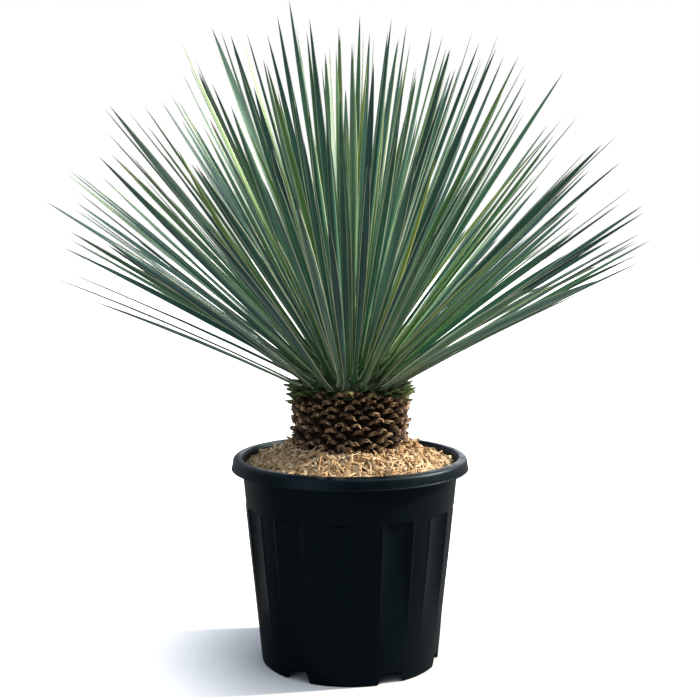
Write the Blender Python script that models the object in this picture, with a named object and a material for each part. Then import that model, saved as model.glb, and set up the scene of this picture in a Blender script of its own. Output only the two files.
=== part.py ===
"""A yucca in a black nursery pot, with a scaly trunk and a round head of stiff narrow blades.

The origin is on the ground at the middle of the pot's foot ring, +Z is up and -Y is the front.
Azimuths are turned from the front towards +X. All lengths are in metres.
"""

import math
import random
from typing import NamedTuple

import bmesh
import bpy
from mathutils import Matrix, Vector

# Clearance between pieces that touch, and the wider one round a post with flat sides
GAP = 0.0003
FIT_GAP = 2 * GAP

# Edges sharper than this stay sharp on round pieces
SHARP_ANGLE = math.radians(28)

# Pot, with the angles of its flutes and notches in degrees
POT_HEIGHT = 0.345
FOOT_RADIUS = 0.150
FOOT_WIDTH = 0.004
BODY_TOP_RADIUS = 0.1825
RIM_RADIUS = 0.200
RIM_INNER_RADIUS = 0.184
RIM_ROUNDING = 0.003
LIP_HEIGHT = 0.021
WALL = 0.003
BAND_HEIGHT = 0.079
BAND_SLOPE = 0.004
FLUTE_COUNT = 12
FLUTE_PHASE = -4
FLUTE_HALF_ANGLE = 8.6
FLUTE_FLOOR_HALF_ANGLE = 7.6
FLUTE_DEPTH = 0.0045
FLUTE_FOOT = 0.028
FLUTE_FOOT_SLOPE = 0.150
NOTCH_HEIGHT = 0.018
NOTCH_AZIMUTHS = (-34, 26, 75, 146, -154, -88)
NOTCH_HALF_ANGLE = 7.6
NOTCH_FOOT_HALF_ANGLE = 8.6
FLOOR_HEIGHT = 0.020
DRAIN_RADIUS = 0.009
DRAIN_CIRCLE = 0.100
DRAIN_COUNT = 6
DRAIN_SIDES = 12

# Soil and mulch
SOIL_TOP = 0.3177
MULCH_SIDES = 48
MULCH_RINGS = 8
MULCH_WALL_HEIGHT = 0.332
MULCH_TRUNK_HEIGHT = 0.360
MULCH_ROUGHNESS = 0.0028
MULCH_SEED = 7

# Trunk
TRUNK_RADIUS = 0.088
TRUNK_SIDES = 22
TRUNK_TOP = 0.442
SCALE_ROWS = 8
SCALE_ROW_PITCH = 0.0088
BURIED_NECK = 0.310
BURIED_FOOT = 0.262
BURIED_RADIUS = 0.060
TRUNK_SEED = 11

# Leaf crown
CROWN_CENTRE = Vector((0.0, 0.0, 0.430))
STUB_ROWS = 2
STUB_ROW_PITCH = 0.008
STUB_SEED = 13
DOME_RADIUS = 0.095
DOME_RINGS = 4
BLADE_COUNT = 384
BLADE_SEED = 29
GOLDEN_ANGLE = math.pi * (3 - math.sqrt(5))
LOWEST_SEAT = math.radians(19)
LOWEST_ELEVATION = math.radians(25)
LIFT_FRONT_AND_BACK = math.radians(13)
DIRECTION_JITTER = math.radians(1.4)
TWIST_JITTER = math.radians(22)
BLADE_ROOT = 0.070
OUTER_REACH = 0.525
INNER_REACH = 0.655
REACH_JITTER = 0.05
BLADE_WIDTH = 0.014
WIDTH_JITTER = 0.15
BLADE_KEEL = 0.0024
SHARES_AND_WIDTHS = ((0.0, 0.44), (0.26, 1.0), (0.70, 0.86))
BLADE_DROOP = 0.026
BLADE_BOW = 0.012


class Stub(NamedTuple):
    """A cut leaf base: how far it stands out and up, and its tip's share of its root's size."""

    length: float
    rise: float
    tip_width: float
    tip_height: float
    jitter: float


BROWN_SCALE = Stub(length=0.014, rise=0.003, tip_width=0.66, tip_height=0.36, jitter=0.0014)
GREEN_STUB = Stub(length=0.021, rise=0.002, tip_width=0.55, tip_height=0.34, jitter=0.0020)


class Blade(NamedTuple):
    """A leaf: its root, the way it points, the way its width lies, its size and its bend."""

    root: Vector
    direction: Vector
    across: Vector
    length: float
    width: float
    bend: Vector


def clear_scene():
    for obj in list(bpy.data.objects):
        bpy.data.objects.remove(obj)


def make_material(name, colour, roughness):
    material = bpy.data.materials.new(name)
    material.use_nodes = True
    shader = material.node_tree.nodes["Principled BSDF"]
    shader.inputs["Base Color"].default_value = (*colour, 1.0)
    shader.inputs["Roughness"].default_value = roughness
    shader.inputs["Metallic"].default_value = 0.0
    return material


def finish(obj, material, smooth=False):
    obj.data.materials.append(material)
    if smooth:
        obj.data.shade_smooth()
        obj.data.set_sharp_from_angle(angle=SHARP_ANGLE)


def make_object(name, bm, collection=None):
    bmesh.ops.triangulate(bm, faces=bm.faces)
    bmesh.ops.recalc_face_normals(bm, faces=bm.faces)
    mesh = bpy.data.meshes.new(name)
    bm.to_mesh(mesh)
    bm.free()
    obj = bpy.data.objects.new(name, mesh)
    (collection or bpy.context.scene.collection).objects.link(obj)
    return obj


def around(azimuth, radius, height):
    """The point at an azimuth, a radius and a height."""
    return Vector((radius * math.sin(azimuth), -radius * math.cos(azimuth), height))


def circle(sides, radius, height, turn=0.0):
    return [around(math.tau * i / sides + turn, radius, height) for i in range(sides)]


def add_row(bm, points):
    return [bm.verts.new(point) for point in points]


def skin(bm, rows):
    """Joins closed rows of vertices, in order, with faces. A row of one vertex closes an end."""
    for lower, upper in zip(rows, rows[1:]):
        count = max(len(lower), len(upper))
        for i in range(count):
            k = (i + 1) % count
            corners = (
                lower[i % len(lower)],
                lower[k % len(lower)],
                upper[k % len(upper)],
                upper[i % len(upper)],
            )
            bm.faces.new(list(dict.fromkeys(corners)))


# Pot

def body_radius(height):
    """Outer radius of the pot's tapered body beside the flutes."""
    return FOOT_RADIUS + (BODY_TOP_RADIUS - FOOT_RADIUS) * height / (POT_HEIGHT - LIP_HEIGHT)


def turn_between(azimuth, other):
    """The angle in degrees between two azimuths, without its sign."""
    return abs((azimuth - other + 180) % 360 - 180)


def wall_columns():
    """The pot's columns of vertices: azimuth, in a flute or not, in a foot notch or not."""
    flutes = [FLUTE_PHASE + flute * 360 / FLUTE_COUNT for flute in range(FLUTE_COUNT)]
    flute_reach = (FLUTE_HALF_ANGLE + FLUTE_FLOOR_HALF_ANGLE) / 2
    notch_reach = (NOTCH_HALF_ANGLE + NOTCH_FOOT_HALF_ANGLE) / 2
    azimuths = set()
    for middle in flutes:
        for offset in (0.0, FLUTE_FLOOR_HALF_ANGLE, FLUTE_HALF_ANGLE, 180 / FLUTE_COUNT):
            azimuths |= {round((middle - offset) % 360, 4), round((middle + offset) % 360, 4)}
    for middle in NOTCH_AZIMUTHS:
        for offset in (NOTCH_HALF_ANGLE, NOTCH_FOOT_HALF_ANGLE):
            azimuths |= {round((middle - offset) % 360, 4), round((middle + offset) % 360, 4)}
    columns = []
    for azimuth in sorted(azimuths):
        in_flute = min(turn_between(azimuth, middle) for middle in flutes) < flute_reach
        in_notch = min(turn_between(azimuth, middle) for middle in NOTCH_AZIMUTHS) < notch_reach
        columns.append((math.radians(azimuth), in_flute, in_notch))
    return columns


def wall_ring(height, inset=0.0, fluted=False, notched=False):
    """A ring on the body, this far inside its outer face."""
    points = []
    for azimuth, in_flute, in_notch in wall_columns():
        level = height + (NOTCH_HEIGHT if notched and in_notch else 0.0)
        depth = inset + (FLUTE_DEPTH if fluted and in_flute else 0.0)
        points.append(around(azimuth, body_radius(level) - depth, level))
    return points


def rim_ring(radius, height):
    return [around(azimuth, radius, height) for azimuth, _, _ in wall_columns()]


def pot_sections():
    band_bottom = POT_HEIGHT - BAND_HEIGHT
    flute_top = band_bottom - BAND_SLOPE
    flute_bottom = FLUTE_FOOT + FLUTE_FOOT_SLOPE
    lip_bottom = POT_HEIGHT - LIP_HEIGHT
    under_rim = POT_HEIGHT - WALL
    floor_top = FLOOR_HEIGHT + WALL
    return [
        [Vector((0.0, 0.0, FLOOR_HEIGHT))],
        wall_ring(FLOOR_HEIGHT, FOOT_WIDTH),
        wall_ring(0.0, FOOT_WIDTH, notched=True),
        wall_ring(0.0, notched=True),
        wall_ring(FLUTE_FOOT),
        wall_ring(flute_bottom, fluted=True),
        wall_ring(flute_top, fluted=True),
        wall_ring(band_bottom),
        rim_ring(BODY_TOP_RADIUS, under_rim),
        rim_ring(RIM_RADIUS - WALL, under_rim),
        rim_ring(RIM_RADIUS - WALL, lip_bottom),
        rim_ring(RIM_RADIUS, lip_bottom),
        rim_ring(RIM_RADIUS, POT_HEIGHT - RIM_ROUNDING),
        rim_ring(RIM_RADIUS - RIM_ROUNDING, POT_HEIGHT),
        rim_ring(RIM_INNER_RADIUS + RIM_ROUNDING / 2, POT_HEIGHT),
        rim_ring(RIM_INNER_RADIUS, POT_HEIGHT - RIM_ROUNDING / 2),
        wall_ring(lip_bottom, WALL),
        wall_ring(band_bottom, WALL),
        wall_ring(flute_top, WALL, fluted=True),
        wall_ring(flute_bottom, WALL, fluted=True),
        wall_ring(FLUTE_FOOT, WALL),
        wall_ring(floor_top, WALL),
        [Vector((0.0, 0.0, floor_top))],
    ]


def add_drain_cutter():
    """One plug at the middle of the floor and a circle of them round it, as a cutter."""
    places = [Vector((0.0, 0.0, FLOOR_HEIGHT))]
    places += circle(DRAIN_COUNT, DRAIN_CIRCLE, FLOOR_HEIGHT)
    bm = bmesh.new()
    for place in places:
        bmesh.ops.create_cone(
            bm,
            cap_ends=True,
            segments=DRAIN_SIDES,
            radius1=DRAIN_RADIUS,
            radius2=DRAIN_RADIUS,
            depth=4 * WALL,
            matrix=Matrix.Translation(place),
        )
    cutter = make_object("drain_cutter", bm)
    cutter.hide_render = True
    cutter.display_type = "WIRE"
    return cutter


def build_pot():
    bm = bmesh.new()
    skin(bm, [add_row(bm, section) for section in pot_sections()])
    pot = make_object("pot", bm)
    finish(pot, make_material("black plastic", (0.016, 0.020, 0.026), 0.42), smooth=True)
    drains = pot.modifiers.new("drains", "BOOLEAN")
    drains.operation = "DIFFERENCE"
    drains.object = add_drain_cutter()


# Soil and mulch

def build_soil():
    """The soil fills the pot up to the mulch, with a plain hole for the buried trunk."""
    bottom = FLOOR_HEIGHT + WALL + GAP
    band_bottom = POT_HEIGHT - BAND_HEIGHT
    flute_top = band_bottom - BAND_SLOPE
    hole = (
        (TRUNK_RADIUS, SOIL_TOP),
        (TRUNK_RADIUS, BURIED_NECK - GAP),
        (BURIED_RADIUS, BURIED_FOOT - GAP),
    )
    sections = [
        [Vector((0.0, 0.0, bottom))],
        wall_ring(bottom, WALL + GAP),
        wall_ring(FLUTE_FOOT, WALL + GAP),
        wall_ring(FLUTE_FOOT + FLUTE_FOOT_SLOPE, WALL + GAP, fluted=True),
        wall_ring(flute_top, WALL + GAP, fluted=True),
        wall_ring(band_bottom, WALL + GAP),
        wall_ring(SOIL_TOP, WALL + GAP),
    ]
    sections += [rim_ring(radius + FIT_GAP, height) for radius, height in hole]
    sections.append([Vector((0.0, 0.0, BURIED_FOOT - GAP))])
    bm = bmesh.new()
    skin(bm, [add_row(bm, section) for section in sections])
    soil = make_object("soil", bm)
    finish(soil, make_material("potting soil", (0.055, 0.038, 0.026), 0.95), smooth=True)


def build_mulch():
    """The mound of shavings: a ring that rises to the trunk, with a rough top."""
    draw = random.Random(MULCH_SEED)
    base = SOIL_TOP + GAP
    outer = body_radius(base) - WALL - FIT_GAP
    inner = TRUNK_RADIUS + FIT_GAP
    sections = [circle(MULCH_SIDES, outer, base)]
    for i in range(MULCH_RINGS + 1):
        share = i / MULCH_RINGS
        swell = (1 - math.cos(math.pi * share)) / 2
        height = MULCH_WALL_HEIGHT + (MULCH_TRUNK_HEIGHT - MULCH_WALL_HEIGHT) * swell
        section = circle(MULCH_SIDES, outer + (inner - outer) * share, height)
        if 0 < i < MULCH_RINGS:
            for point in section:
                point.z += draw.uniform(-MULCH_ROUGHNESS, MULCH_ROUGHNESS)
        sections.append(section)
    sections.append(circle(MULCH_SIDES, inner, base))
    bm = bmesh.new()
    rows = [add_row(bm, section) for section in sections]
    skin(bm, rows + rows[:1])
    mulch = make_object("mulch", bm)
    finish(mulch, make_material("wood shavings", (0.60, 0.43, 0.25), 0.85))


# Trunk

def draw_out(face, stub, draw):
    """Moves an extruded face outwards and shrinks it to the stub's tip."""
    centre = face.calc_center_median()
    outward = Vector((centre.x, centre.y, 0.0)).normalized()
    along = Vector((-outward.y, outward.x, 0.0))
    length = stub.length + draw.uniform(-stub.jitter, stub.jitter)
    rise = stub.rise + draw.uniform(-stub.jitter, stub.jitter)
    tip = centre + outward * length + Vector((0.0, 0.0, rise))
    for corner in face.verts:
        offset = corner.co - centre
        sideways = along * offset.dot(along) * stub.tip_width
        upwards = Vector((0.0, 0.0, offset.z * stub.tip_height))
        corner.co = tip + sideways + upwards


def next_to(level, column):
    """Where the vertex between a column and the next lies in the rows above and below a level."""
    return (column + level % 2) % TRUNK_SIDES


def add_stub_band(bm, bottom, levels, pitch, stub, seed):
    """A round band clad in staggered diamonds, each drawn out into a stub. Returns its rows."""
    half_step = math.pi / TRUNK_SIDES
    rows = []
    for level in range(levels + 2):
        turn = half_step * (level % 2)
        rows.append(add_row(bm, circle(TRUNK_SIDES, TRUNK_RADIUS, bottom + level * pitch, turn)))
    diamonds = []
    for level in range(1, levels + 1):
        below, row, above = rows[level - 1:level + 2]
        for i in range(TRUNK_SIDES):
            middle = next_to(level, i)
            corners = (row[i], below[middle], row[(i + 1) % TRUNK_SIDES], above[middle])
            diamonds.append(bm.faces.new(corners))
    for level, edge_row in ((1, rows[0]), (levels, rows[-1])):
        for i in range(TRUNK_SIDES):
            side = (edge_row[next_to(level, i - 1)], edge_row[next_to(level, i)])
            bm.faces.new((rows[level][i], *side))
    tips = bmesh.ops.extrude_discrete_faces(bm, faces=diamonds)["faces"]
    draw = random.Random(seed)
    for face in tips:
        draw_out(face, stub, draw)
    return rows


def build_trunk():
    """The stem with its cut leaf bases, and below them the plain foot that is buried."""
    bottom = TRUNK_TOP - (SCALE_ROWS + 1) * SCALE_ROW_PITCH
    bm = bmesh.new()
    rows = add_stub_band(bm, bottom, SCALE_ROWS, SCALE_ROW_PITCH, BROWN_SCALE, TRUNK_SEED)
    neck = add_row(bm, circle(TRUNK_SIDES, TRUNK_RADIUS, BURIED_NECK))
    foot = add_row(bm, circle(TRUNK_SIDES, BURIED_RADIUS, BURIED_FOOT))
    skin(bm, [rows[0], neck, foot])
    bm.faces.new(foot)
    bm.faces.new(rows[-1])
    trunk = make_object("trunk", bm)
    finish(trunk, make_material("brown leaf bases", (0.17, 0.095, 0.050), 0.80))


# Leaf crown

def elevation_at(lowest, share):
    """Spreads blades evenly over a dome, from its lowest elevation up to its top."""
    return math.asin(math.sin(lowest) + (1 - math.sin(lowest)) * share)


def plan_blades():
    """Blades set by the golden angle, from the outermost low ones to the innermost upright ones."""
    draw = random.Random(BLADE_SEED)

    def jitter(size):
        return draw.uniform(-size, size)

    for k in range(BLADE_COUNT):
        share = (k + 0.5) / BLADE_COUNT
        azimuth = k * GOLDEN_ANGLE + jitter(DIRECTION_JITTER)
        seat = elevation_at(LOWEST_SEAT, share)
        root = CROWN_CENTRE + BLADE_ROOT * around(azimuth, math.cos(seat), math.sin(seat))
        lowest = LOWEST_ELEVATION + LIFT_FRONT_AND_BACK * math.cos(azimuth) ** 2
        elevation = elevation_at(lowest, share) + jitter(DIRECTION_JITTER)
        direction = around(azimuth, math.cos(elevation), math.sin(elevation))
        level_line = Vector((math.cos(azimuth), math.sin(azimuth), 0.0))
        across = Matrix.Rotation(jitter(TWIST_JITTER), 3, direction) @ level_line
        reach = OUTER_REACH + (INNER_REACH - OUTER_REACH) * math.sqrt(share)
        droop = Vector((0.0, 0.0, -BLADE_DROOP * (1 - share)))
        bow = across.cross(direction) * jitter(BLADE_BOW) + across * jitter(BLADE_BOW)
        yield Blade(
            root,
            direction,
            across,
            reach * (1 + jitter(REACH_JITTER)) - BLADE_ROOT,
            BLADE_WIDTH * (1 + jitter(WIDTH_JITTER)),
            droop + bow,
        )


def add_blade(blade, collection):
    """A closed three-sided blade: a flat upper face, a keel below and a needle tip."""
    upper_side = blade.direction.cross(blade.across)
    bm = bmesh.new()
    rows = []
    for share, width_share in SHARES_AND_WIDTHS:
        along = blade.root + blade.direction * blade.length * share
        middle = along + blade.bend * share ** 2
        half = blade.across * blade.width * width_share / 2
        keel = middle - upper_side * BLADE_KEEL
        rows.append(add_row(bm, (middle - half, keel, middle + half)))
    tip = blade.root + blade.direction * blade.length + blade.bend
    rows.append(add_row(bm, (tip,)))
    skin(bm, rows)
    bm.faces.new(rows[0])
    make_object("blade", bm, collection)


def add_crown_core(bm):
    """The green collar of cut leaf bases and the dome that the blades grow from."""
    bottom = TRUNK_TOP + GAP
    rows = add_stub_band(bm, bottom, STUB_ROWS, STUB_ROW_PITCH, GREEN_STUB, STUB_SEED)
    bm.faces.new(rows[0])
    top_edge = bottom + (STUB_ROWS + 1) * STUB_ROW_PITCH
    start = math.atan2(top_edge - CROWN_CENTRE.z, TRUNK_RADIUS)
    turn = math.pi / TRUNK_SIDES * ((STUB_ROWS + 1) % 2)
    dome = [rows[-1]]
    for i in range(1, DOME_RINGS):
        elevation = start + (math.pi / 2 - start) * i / DOME_RINGS
        radius = DOME_RADIUS * math.cos(elevation)
        height = CROWN_CENTRE.z + DOME_RADIUS * math.sin(elevation)
        dome.append(add_row(bm, circle(TRUNK_SIDES, radius, height, turn)))
    dome.append(add_row(bm, (CROWN_CENTRE + Vector((0.0, 0.0, DOME_RADIUS)),)))
    skin(bm, dome)


def unite_with_collection(obj, collection):
    """Fuses the objects of a collection into one object, and removes them."""
    union = obj.modifiers.new("union", "BOOLEAN")
    union.operation = "UNION"
    union.operand_type = "COLLECTION"
    union.collection = collection
    union.solver = "MANIFOLD"
    with bpy.context.temp_override(object=obj):
        bpy.ops.object.modifier_apply(modifier=union.name)
    for part in list(collection.objects):
        bpy.data.objects.remove(part)
    bpy.data.collections.remove(collection)


def build_leaf_crown():
    bm = bmesh.new()
    add_crown_core(bm)
    crown = make_object("leaf_crown", bm)
    finish(crown, make_material("yucca leaf", (0.075, 0.145, 0.105), 0.55))
    blades = bpy.data.collections.new("blades")
    bpy.context.scene.collection.children.link(blades)
    for blade in plan_blades():
        add_blade(blade, blades)
    unite_with_collection(crown, blades)


def main():
    clear_scene()
    build_pot()
    build_soil()
    build_mulch()
    build_trunk()
    build_leaf_crown()


main()
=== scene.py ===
import math
import random

import bmesh
import bpy
import numpy as np
from mathutils import Matrix, Vector, noise


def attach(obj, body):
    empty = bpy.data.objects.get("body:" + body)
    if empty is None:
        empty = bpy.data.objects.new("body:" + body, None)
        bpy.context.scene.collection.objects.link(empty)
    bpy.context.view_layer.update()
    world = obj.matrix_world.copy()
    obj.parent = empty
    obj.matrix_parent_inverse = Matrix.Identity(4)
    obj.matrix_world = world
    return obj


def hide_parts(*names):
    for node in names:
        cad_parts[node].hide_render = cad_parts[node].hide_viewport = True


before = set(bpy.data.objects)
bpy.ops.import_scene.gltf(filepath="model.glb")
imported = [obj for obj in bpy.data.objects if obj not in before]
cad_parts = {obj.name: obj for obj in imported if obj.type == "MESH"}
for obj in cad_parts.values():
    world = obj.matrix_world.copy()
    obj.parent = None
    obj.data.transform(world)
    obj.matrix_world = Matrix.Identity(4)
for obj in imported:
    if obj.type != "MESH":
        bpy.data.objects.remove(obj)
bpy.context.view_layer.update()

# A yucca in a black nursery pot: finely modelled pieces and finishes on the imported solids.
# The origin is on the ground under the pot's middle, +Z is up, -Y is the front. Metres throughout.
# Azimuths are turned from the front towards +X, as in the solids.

# Pot, with the same sizes as its solid
POT_HEIGHT = 0.345
FOOT_RADIUS = 0.150
FOOT_WIDTH = 0.004
BODY_TOP_RADIUS = 0.1825
RIM_RADIUS = 0.200
RIM_INNER_RADIUS = 0.184
LIP_HEIGHT = 0.021
LIP_LEAN = 0.0025
LIP_BEAD = 0.0008
WALL = 0.003
BAND_BOTTOM = 0.266
FLUTE_TOP = 0.262
FLUTE_COUNT = 12
FLUTE_PHASE = math.radians(-4)
FLUTE_DEPTH = 0.0062
FLUTE_FOOT = 0.026
FLUTE_FULL = 0.225
NOTCH_HEIGHT = 0.018
FLOOR_HEIGHT = 0.020
DRAIN_RADIUS = 0.009
DRAIN_CIRCLE = 0.100
DRAIN_COUNT = 6
DRAIN_SIDES = 24

# How far the corners of the pot's section are rounded
FOOT_ROUNDING = 0.0009
SHOULDER_ROUNDING = 0.003
UNDER_LIP_ROUNDING = 0.001
LIP_EDGE_ROUNDING = 0.0008
BEAD_ROUNDING = 0.0006
RIM_ROUNDING = 0.0065
RIM_INNER_ROUNDING = 0.0022
FLOOR_ROUNDING = 0.002
DRAIN_ROUNDING = 0.0005
UNDERSIDE_ROUNDING = 0.0012
ROUNDING_STEPS = 4

# The pot's columns of vertices crowd together at the sides of a flute:
# half a flute and half the wall beside it, as steps from the flute's middle and their angles
STEPS_PER_FLUTE = 36
COLUMN_STEPS = (0, 7, 8, 9, 10, 11, 12, 18)
COLUMN_ANGLES = (0.0, 7.2, 7.6, 7.9, 8.3, 8.6, 9.0, 15.0)
FLUTE_EDGE_ANGLE = 8.75
RIDGE_ANGLE = 9.0
RIDGE_HALF_ANGLE = 0.9
RIDGE_HEIGHT = 0.0011
NOTCH_TOP_ANGLE = 6.2
NOTCH_EDGE_ANGLE = 8.9
NOTCH_AZIMUTHS = (-34, 26, 75, 146, -154, -88)

# Heights of the rings of vertices on the pot's wall, between foot and lip
WALL_LEVELS = (
    0.005, 0.010, 0.015, 0.020, 0.028, 0.040, 0.055, 0.070, 0.085, 0.100, 0.120, 0.140, 0.160,
    0.180, 0.200, 0.220, 0.240, 0.2605, 0.262, 0.263, 0.264, 0.265, 0.266, 0.268, 0.290, 0.318,
)
INNER_LEVELS = (
    0.3235, 0.300, 0.268, 0.266, 0.264, 0.262, 0.240, 0.200, 0.160, 0.120, 0.085, 0.055, 0.028,
)

# Mulch
SOIL_TOP = 0.3177
SOIL_GAP = 0.0003
WALL_GAP = 0.0006
TRUNK_RADIUS = 0.088
MULCH_WALL_HEIGHT = 0.332
MULCH_TRUNK_HEIGHT = 0.360
BED_DEPTH = 0.0065
BED_STEPS = 144
BED_RINGS = 22
BED_TUCK = 0.001
BED_FOOT = 0.004
# Two sizes of lump in the bed: how close together they are, and how high
BED_LUMPS = ((60, 0.0016), (190, 0.0012))
SHAVING_SEED = 41
SHAVING_WALL_MARGIN = 0.004
SHAVING_TRUNK_MARGIN = 0.002
SHAVING_DEPTH_AT_WALL = 0.0072
SHAVING_DEPTH_AT_TRUNK = 0.0036
SHAVING_PILE = 0.0075
SHAVING_PILE_POWER = 1.4
SHAVING_ROLL = 0.22
SHAVING_THICKNESS = (0.75, 1.35)
# Each kind of shaving: turn, steps of the curl, rise, size across the curl, size along its axis,
# how many there are, their least and greatest length, and how far they lean over and tip
SHAVING_KINDS = (
    (1.5, 6, 0.10, 0.100, 0.046, 700, 0.024, 0.040, 0.0, 0.12),
    (3.1, 9, 0.14, 0.092, 0.042, 820, 0.028, 0.044, 0.0, 0.17),
    (4.8, 12, 0.18, 0.078, 0.036, 480, 0.036, 0.054, 0.0, 0.22),
    (1.9, 7, 0.06, 0.050, 0.34, 130, 0.012, 0.019, 1.57, 0.35),
    (0.9, 6, 0.16, 0.055, 0.028, 150, 0.034, 0.054, 0.0, 0.14),
)

# Trunk
CORE_RADIUS = 0.084
CORE_TOP = 0.452
CORE_SIDES = 96
CORE_LEVELS = 14
CORE_DENT = 0.018
CORE_DENT_FINENESS = 90
BASE_COLUMNS = 21
# Rows of leaf bases: how many, the height of the lowest, the pitch from row to row, and the seed
SCALES = (10, 0.3602, 0.0088, 17)
STUBS = (3, 0.4475, 0.0068, 19)
GREEN_START = 0.430
BROWN_FRONT_RISE = 0.025
GREEN_BLEND = 0.009

# The shape of a leaf base. A station is how far out it is, its width, thickness and rise, as shares.
# A cut is how far the face at the end is inset, and how deep it is sunk.
TONGUE_SIDES = 8
TONGUE_UNDERSIDE = (0.92, 1, -0.2)
HOLLOW_MAP = 1.3
BASE_STATIONS = (
    (0.0, 1.0, 1.0, 0.0), (0.38, 0.95, 0.96, 0.02), (0.72, 0.74, 0.82, 0.07), (1.0, 0.36, 0.52, 0.15),
)
BASE_CUT = (0.04, 0.12)
HUSK_STATIONS = (
    (0.0, 1.0, 1.0, 0.0), (0.30, 1.0, 0.70, 0.0), (0.65, 0.66, 0.45, 0.05), (1.0, 0.14, 0.20, 0.25),
)
HUSK_CUT = (0.02, 0.02)
CUT_SLANT = (-0.5, 0.6)
SKEW_SHARE = 0.7
TONGUE_WEAR = 0.014

# How leaf bases stand. Sizes are the ranges of length, width and thickness, and turns those of tilt,
# roll and sideways turn. Green ones gain or lose size, roll less and are drawn to a point.
BASE_SIDE_JITTER = 0.16
BASE_HEIGHT_JITTER = 0.0018
BASE_SINK = 0.003
BASE_SIZES = ((0.0175, 0.0225), (0.0215, 0.0270), (0.0175, 0.0225))
BASE_TURNS = ((-0.08, 0.34), (-0.30, 0.30), (-0.25, 0.25))
GREEN_GAINS = (0.0080, -0.0060, -0.0095)
GREEN_ROLL_LOSS = 0.5
GREEN_POINT = 0.80
GREEN_JITTER = (-0.35, 0.25)
HUSK_COUNT = 46
HUSK_SEED = 18
HUSK_SIDE_JITTER = 0.35
HUSK_HEIGHT = 0.3555
HUSK_HEIGHT_JITTER = (-0.002, 0.003)
HUSK_LIFT = 0.001
HUSK_SIZES = ((0.022, 0.036), (0.016, 0.030), (0.005, 0.009))
HUSK_TURNS = ((-0.28, 0.28), (-0.4, 0.4), (-0.5, 0.5))
DARKEST_HUSK = 0.5

# Leaves, by the same rule and the same draws as the solid crown
CROWN_CENTRE = Vector((0.0, 0.0, 0.430))
HEART_RADIUS = 0.089
HEART_RINGS = 32
HEART_TUCK = 0.002
BLADE_COUNT = 384
BLADE_SEED = 29
GOLDEN_ANGLE = math.pi * (3 - math.sqrt(5))
LOWEST_SEAT = math.radians(19)
LOWEST_ELEVATION = math.radians(25)
LIFT_FRONT_AND_BACK = math.radians(13)
DIRECTION_JITTER = math.radians(1.4)
TWIST_JITTER = math.radians(22)
BLADE_ROOT = 0.070
OUTER_REACH = 0.525
INNER_REACH = 0.655
REACH_JITTER = 0.05
BLADE_WIDTH = 0.014
WIDTH_JITTER = 0.15
BLADE_DEPTH = 0.0026
BLADE_DROOP = 0.026
BLADE_BOW = 0.012
CLUMP_SEED = 346
CLUMP_FINENESS = 7.0
CLUMP_LEAN = 0.090
LEAST_RISE = math.sin(math.radians(22))
GAP_FINENESS = 12.0
GAP_LEVEL = -0.14
SEAT_STAGGER = 0.013
LONGEST_GAIN = 1.02
SHORTEST_LOSS = 0.45
SHORTNESS_SHAPE = (1.0, 7.0)
WIDTH_SPREAD = (0.78, 1.08)
ROLL_SPREAD = math.radians(50)
STRAY_COUNT = 22
STRAY_SPREAD = math.radians(9)
STRAY_BOW = 0.060
STRAY_BOW_SHARE = (0.5, 1.0)
STRAY_LENGTH = (0.70, 0.92)
STRAY_WIDTH = 0.55
STRAY_AGE = 0.5
STRAY_SHADE = (0.75, 1.0)
TWIST_SPREAD = 0.40

# A blade's stations: how far out each is, its width and its depth, as shares
BLADE_STATIONS = (
    (0.0, 1.35, 2.2), (0.046, 1.32, 2.0), (0.060, 0.86, 1.6), (0.080, 0.60, 1.35), (0.16, 0.56, 1.2),
    (0.32, 0.78, 1.05), (0.52, 0.98, 1.0), (0.70, 0.94, 0.9), (0.84, 0.68, 0.7), (0.94, 0.34, 0.42),
    (1.0, 0.05, 0.08),
)
# A blade's section is a hexagon, its upper sides spread flat to the margins, its lower ones drawn in
# and down, its top sunk as a channel and its bottom dropped as a keel
OFF_MIDDLE = 0.1
MARGIN_SPREAD = 1 / 0.866
LOWER_SIDES = (0.66, 1, 2.5)
CHANNEL_DROP = 0.95
KEEL_DROP = 0.5

# What each blade draws for its colours: its shade, lighter when young, its wax, dryness and pale edge
OLDEST_SHADE = 0.15
YOUNG_SHADE_GAIN = 0.32
YOUNG_SHADE_POWER = 1.8
SHADE_SPREAD = 0.22
WAXY_SHARE = 0.05
WAXY_BLOOM = (0.50, 0.75)
BLOOM_SHAPE = (1.0, 2.4)
MEAN_DRYNESS = 0.12
EDGE_SHAPE = (1.6, 1.1)
# How far the shade of a piece moves its fibres on, so that no two look alike
SHADE_SHIFT = 37.0

# Camera, light and floor
PHOTO_LENS = 60.97
PHOTO_SHIFT = -0.08
SENSOR_WIDTH = 36.0
CAMERA_PLACE = (0.0, -2.0, 0.7217)
CAMERA_TILT = math.radians(2.958)
FLOOR_SIZE = 60.0
FLOOR_DROP = 0.0005
# The floor's painted light for the camera: where it starts round the pot, where it is full, and how strong
PAINTED_LIGHT_START = 0.13
PAINTED_LIGHT_FULL = 0.46
PAINTED_LIGHT_LEVEL = 0.90
LIGHT_DISTANCE = 3
# Each light: its azimuth, elevation and softness in degrees, its power and its colour
LIGHTS = {
    "key_light": (98, 32, 4, 7.4, (1.0, 0.93, 0.80)),
    "rim_light": (165, 24, 40, 0.7, (0.92, 0.96, 1.0)),
    "side_light": (-38, 10, 40, 0.58, (0.92, 0.96, 1.0)),
    "top_light": (50, 58, 40, 1.00, (0.98, 0.99, 1.0)),
}

# Points nearer to each other than this are one point, and a section's first point starts as a speck
SAME_PLACE = 1e-5
SPECK = 0.001


# Selecting and opening pieces

def pick_only(obj):
    """Makes this piece the only selected one, and the active one."""
    bpy.ops.object.select_all(action="DESELECT")
    obj.select_set(True)
    bpy.context.view_layer.objects.active = obj


def select_all():
    bpy.ops.mesh.select_all(action="SELECT")


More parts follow.
